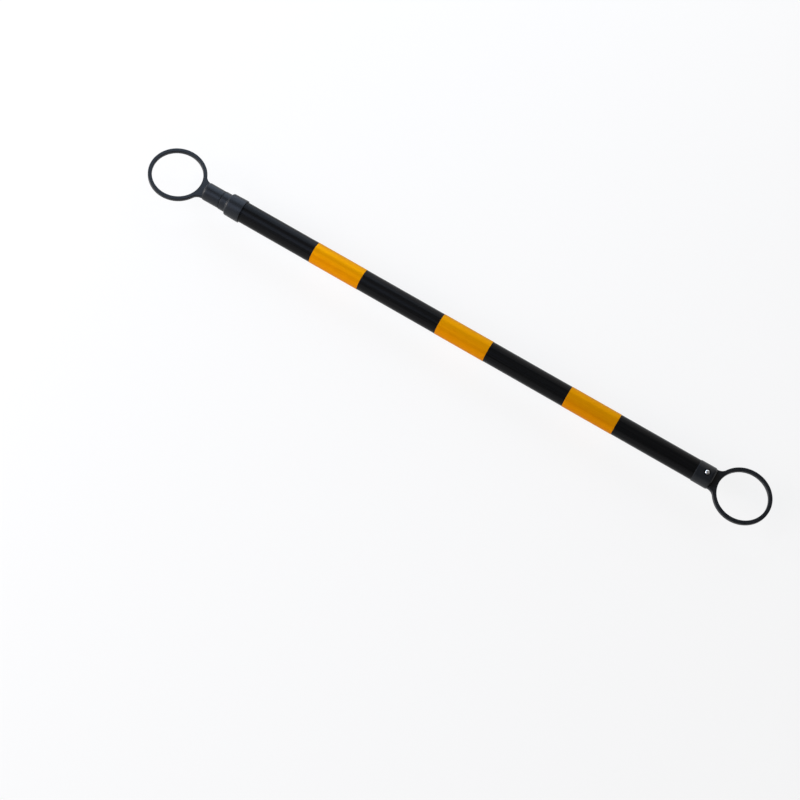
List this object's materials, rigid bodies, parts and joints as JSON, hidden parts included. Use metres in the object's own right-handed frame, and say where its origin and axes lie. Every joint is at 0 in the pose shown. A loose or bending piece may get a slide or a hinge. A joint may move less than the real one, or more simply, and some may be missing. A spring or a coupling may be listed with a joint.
{
  "type": "telescopic barrier pole",
  "caption": "Telescopic black and yellow barrier pole with a ring at each end that drops over a traffic cone's tip; the inner tube slides out and locks with a twist.",
  "frame": {"origin": "on the pole's axis, half way between the two rings of the closed pole", "axes": "+X along the pole from the sliding ring to the fixed ring, +Z along the axis of both rings, up when the pole lies on two cones"},
  "size_m": [1.1274, 0.0954, 0.0388],
  "materials": {
    "black_tube": "glossy extruded black plastic",
    "black_moulding": "semi-gloss moulded black plastic",
    "yellow_film": "glossy amber-yellow reflective film",
    "inner_black": "satin extruded black plastic",
    "nylon": "natural moulded nylon",
    "rubber": "black rubber",
    "zinc_steel": "bright zinc-plated steel"
  },
  "bodies": {
    "outer_pole": {"outer_tube": "black_tube", "reflective_band_1": "yellow_film", "reflective_band_2": "yellow_film", "reflective_band_3": "yellow_film", "tube_collar": "black_moulding", "collar_bush": "nylon", "collar_wiper": "rubber", "fixed_ring_cap": "black_moulding", "fixed_cap_screw": "zinc_steel"},
    "lock_guide": {"guide_ring": "nylon"},
    "inner_pole": {"inner_tube": "inner_black", "sliding_ring_cap": "black_moulding", "sliding_cap_screw": "zinc_steel", "lock_core": "nylon", "core_pin": "zinc_steel", "core_end_washer": "zinc_steel", "core_end_screw": "zinc_steel"},
    "lock_cam": {"lock_ring": "nylon"}
  },
  "joints": [
    {"name": "extend", "type": "slide", "parent": "outer_pole", "child": "lock_guide", "axis": [-1, 0, 0], "range_m": [0, 0.76]},
    {"name": "twist", "type": "hinge", "parent": "lock_guide", "child": "inner_pole", "pos_m": [0.3965, 0, 0], "axis": [1, 0, 0], "range_deg": [-90, 90]},
    {"name": "cam_turn", "type": "hinge", "parent": "inner_pole", "child": "lock_cam", "pos_m": [0.4115, 0, 0.0007], "axis": [1, 0, 0], "range_deg": [-90, 90]}
  ],
  "couplings": [
    {"joint": "cam_turn", "follows": "twist", "ratio": -1}
  ]
}
